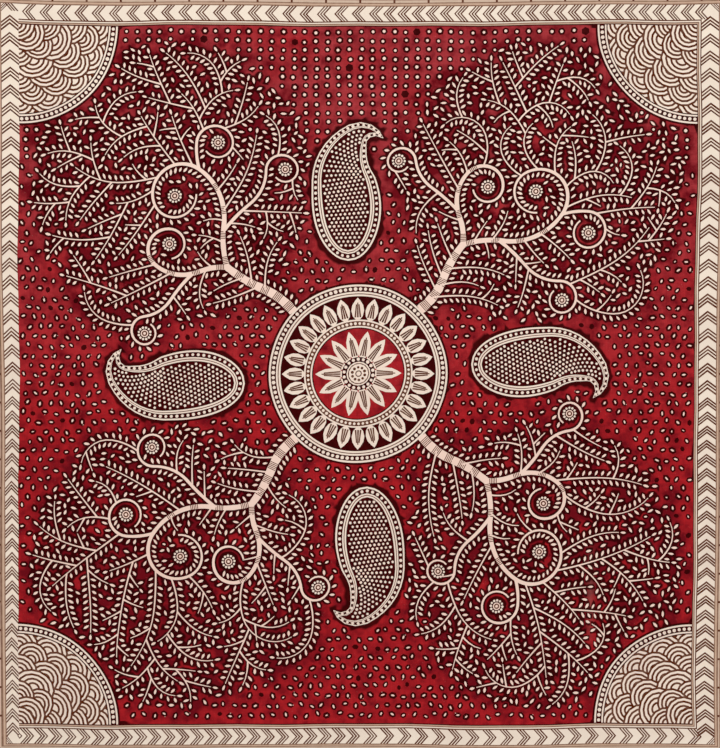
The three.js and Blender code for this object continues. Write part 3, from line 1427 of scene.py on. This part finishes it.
BROWN_INK = (0.5, 1.0, 0.0, 1.0)
MELT = (0.15, 0.5, 1.0, 0.0)
# Painted shade in the hollows of the weave, set by the weave's height
VALLEY_SHADE_SPREAD = (0.2, 1.2, 0.11, 0.0)
COTTON_ROUGHNESS = (0.3, 0.7, 0.84, 0.96)
THREAD_SHADE = (0.3, 0.7, 0.0, 1.0)
THREAD_ROUGHNESS = (0.3, 0.7, 0.75, 0.92)


class Nodes:
    """A material's node tree, with short ways to add to it."""

    def __init__(self, name):
        self.material = bpy.data.materials.new(name)
        self.material.use_nodes = True
        self.tree = self.material.node_tree
        self.shader = self.tree.nodes["Principled BSDF"]

    def set_input(self, socket, value):
        if isinstance(value, bpy.types.NodeSocket):
            self.tree.links.new(value, socket)
        elif isinstance(value, tuple) and len(value) == 3 and socket.type == "RGBA":
            socket.default_value = (*value, 1)
        else:
            socket.default_value = value

    def add(self, kind, values, output=0, **settings):
        node = self.tree.nodes.new(kind)
        for name, setting in settings.items():
            setattr(node, name, setting)
        for socket, value in values.items():
            self.set_input(node.inputs[socket], value)
        return node.outputs[output]

    def math(self, operation, first, second=0.0):
        return self.add("ShaderNodeMath", {0: first, 1: second}, operation=operation)

    def plus(self, first, second):
        return self.math("ADD", first, second)

    def times(self, first, second):
        return self.math("MULTIPLY", first, second)

    def mix(self, share, first, second):
        return self.add("ShaderNodeMix", {0: share, 6: first, 7: second}, 2, data_type="RGBA")

    def stretch(self, vector, scale):
        return self.add("ShaderNodeVectorMath", {0: vector, 1: scale}, operation="MULTIPLY")

    def noise(self, vector, scale, detail):
        return self.add("ShaderNodeTexNoise", {"Vector": vector, "Scale": scale, "Detail": detail}, "Fac")

    def spread(self, value, *limits):
        return self.add("ShaderNodeMapRange", dict(enumerate((value, *limits))))

    def attribute(self, name, output="Fac"):
        return self.add("ShaderNodeAttribute", {}, output, attribute_name=name)

    def split(self, vector):
        node = self.tree.nodes.new("ShaderNodeSeparateXYZ")
        self.set_input(node.inputs[0], vector)
        return node.outputs

    def millimetres(self):
        return self.stretch(self.add("ShaderNodeTexCoord", {}, "Object"), (1 / MM, 1 / MM, 1 / MM))

    def surface(self, colour, roughness):
        self.set_input(self.shader.inputs["Base Color"], colour)
        self.set_input(self.shader.inputs["Roughness"], roughness)

    def relief(self, height, strength, depth, gloss):
        values = {"Strength": strength, "Distance": depth * MM, "Height": height}
        self.set_input(self.shader.inputs["Normal"], self.add("ShaderNodeBump", values, "Normal"))
        self.shader.inputs["Specular IOR Level"].default_value = gloss


def plain_weave(nodes, place, pitch):
    """Height of a plain weave: each thread rides over one crossing and under the next."""
    x, y, _ = nodes.split(place)
    wave_x = nodes.math("SINE", nodes.times(x, math.pi / pitch))
    wave_y = nodes.math("SINE", nodes.times(y, math.pi / pitch))
    crossing = nodes.times(wave_x, wave_y)
    warp = nodes.plus(nodes.math("ABSOLUTE", wave_x), crossing)
    weft = nodes.math("SUBTRACT", nodes.math("ABSOLUTE", wave_y), crossing)
    return nodes.math("MAXIMUM", warp, weft)


def printed_cotton():
    nodes = Nodes("printed_cotton")
    place = nodes.millimetres()
    _, up, _ = nodes.split(place)
    red, black, brown = nodes.split(nodes.attribute("dye", "Vector"))
    broad = nodes.noise(place, *BROAD)
    grain = nodes.noise(place, *GRAIN)

    # Threads that are thicker or thirstier than their neighbours
    warp_slub = nodes.noise(nodes.stretch(place, (SLUB_ACROSS, SLUB_ALONG, 1.0)), *SLUB)
    weft_slub = nodes.noise(nodes.stretch(place, (SLUB_ALONG, SLUB_ACROSS, 1.0)), *SLUB)
    slub = nodes.plus(warp_slub, weft_slub)

    # Unprinted cotton, greyer towards the bottom
    low = nodes.times(nodes.spread(up, *AGE_DOWN), nodes.spread(up, *AGE_FOOT))
    age = nodes.plus(nodes.spread(broad, *AGE_BROAD), low)
    resist = nodes.spread(red, *RESIST)
    cotton = nodes.mix(age, nodes.mix(resist, CREAM, PALE), nodes.mix(resist, CREAM_AGED, PALE_AGED))

    # The red, mottled in patches, pinker at the top, deeper among the leaves, and paler along the crease
    # ridge as a painted highlight
    pink = nodes.times(nodes.spread(up, *PINK_UP), nodes.spread(broad, *PINK_BROAD))
    dyed = nodes.mix(pink, RED, RED_PINK)
    drift = nodes.spread(nodes.noise(place, *DRIFT), *DEEP_DRIFT)
    patch = nodes.spread(nodes.noise(place, *PATCH), *DEEP_PATCH)
    cloud = nodes.spread(nodes.noise(place, *CLOUD), *DEEP_CLOUD)
    deep = nodes.plus(nodes.plus(patch, nodes.times(nodes.attribute("shade"), drift)), cloud)
    dyed = nodes.mix(nodes.math("MINIMUM", deep, 1.0), dyed, RED_DEEP)
    dyed = nodes.mix(nodes.spread(slub, *DEEP_SLUB), dyed, RED_DEEP)
    # Painted highlight: the red is made paler along the ridge of the crease, as if lit there
    crease_lit = nodes.times(nodes.attribute("crease_highlight"), CREASE_HIGHLIGHT)
    bare = nodes.plus(nodes.spread(grain, *MISSED), crease_lit)
    colour = nodes.mix(nodes.times(red, nodes.math("SUBTRACT", 1.0, bare)), cotton, dyed)

    # Brown ink, and the tan of thin brown, paler where the block ran dry
    flow = nodes.noise(place, *FLOW)
    brown = nodes.times(brown, nodes.spread(flow, *BROWN_FLOW))
    colour = nodes.mix(nodes.spread(brown, *TAN_INK), colour, TAN)
    colour = nodes.mix(nodes.spread(brown, *BROWN_INK), colour, BROWN)

    # Black, which melts into the red of the open ground away from the painted shapes
    melt = nodes.times(nodes.attribute("soft"), nodes.spread(nodes.attribute("soot"), *MELT))
    black = nodes.times(black, nodes.math("SUBTRACT", 1.0, melt))
    colour = nodes.mix(nodes.times(black, nodes.spread(flow, *BLACK_FLOW)), colour, BLACK)

    weave = plain_weave(nodes, place, WEAVE_PITCH)
    # Painted shade: the hollows of the weave are darkened in the colour, on top of the real bump below
    colour = nodes.mix(nodes.spread(weave, *VALLEY_SHADE_SPREAD), colour, VALLEY_SHADE)
    nodes.surface(colour, nodes.spread(grain, *COTTON_ROUGHNESS))
    nodes.relief(nodes.plus(weave, nodes.times(slub, SLUB_HEIGHT)), *WEAVE_RELIEF, COTTON_GLOSS)
    return nodes.material


def cotton_thread():
    nodes = Nodes("cotton_thread")
    place = nodes.millimetres()
    x, y, _ = nodes.split(place)
    twist = nodes.math("SINE", nodes.times(nodes.plus(x, y), THREAD_TWIST))
    fuzz = nodes.noise(place, *FUZZ)
    colour = nodes.mix(nodes.spread(fuzz, *THREAD_SHADE), THREAD, THREAD_DARK)
    nodes.surface(colour, nodes.spread(fuzz, *THREAD_ROUGHNESS))
    nodes.relief(twist, *THREAD_RELIEF, THREAD_GLOSS)
    return nodes.material


def floor_paint():
    nodes = Nodes("floor_paint")
    nodes.surface(FLOOR_COLOUR, FLOOR_ROUGHNESS)
    return nodes.material


# Stage, with its lamps as rows of name, place, size across and power

LENS = 85.0
SENSOR = 36.0
VIEW_LENGTH = 0.935
FLOOR_SIZE = 40.0
FLOOR_DROP = 0.0002
LAMPS = [("key", (-1.0, 1.5, 2.7), 2.2, 60.0), ("fill", (1.5, -0.7, 2.5), 2.4, 35.0)]
SKY_COLOUR = (1.0, 0.985, 0.965, 1)
SKY_STRENGTH = 0.45


def make_floor():
    half = FLOOR_SIZE / 2
    corners = [(x, y, -FLOOR_DROP) for x, y in corners_of(-half, half, -half, half)]
    mesh = new_mesh("floor", corners, [(0, 1, 2, 3)])
    mesh.materials.append(floor_paint())
    add_object("floor", mesh)


def make_lamp(name, place, size, power):
    light = bpy.data.lights.new(name, "AREA")
    light.shape = "DISK"
    light.size = size
    light.energy = power
    lamp = add_object(name, light)
    lamp.location = place
    lamp.rotation_euler = (-Vector(place)).to_track_quat("-Z", "Y").to_euler()


def make_stage():
    scene = bpy.context.scene
    scene.view_settings.view_transform = "Standard"
    make_floor()
    for lamp in LAMPS:
        make_lamp(*lamp)
    world = bpy.data.worlds.new("sky")
    world.use_nodes = True
    sky = world.node_tree.nodes["Background"]
    sky.inputs["Color"].default_value = SKY_COLOUR
    sky.inputs["Strength"].default_value = SKY_STRENGTH
    scene.world = world
    camera = bpy.data.cameras.new("camera")
    camera.lens = LENS
    camera.sensor_width = SENSOR
    scene.camera = add_object("camera", camera)
    scene.camera.location = (0, 0, VIEW_LENGTH * LENS / SENSOR)


make_stage()
cloth = make_cloth()
cloth.data.materials.append(printed_cotton())
stitches = make_stitches()
stitches.data.materials.append(cotton_thread())

for piece in (cloth, stitches):
    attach(piece, "root")
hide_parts("cloth")
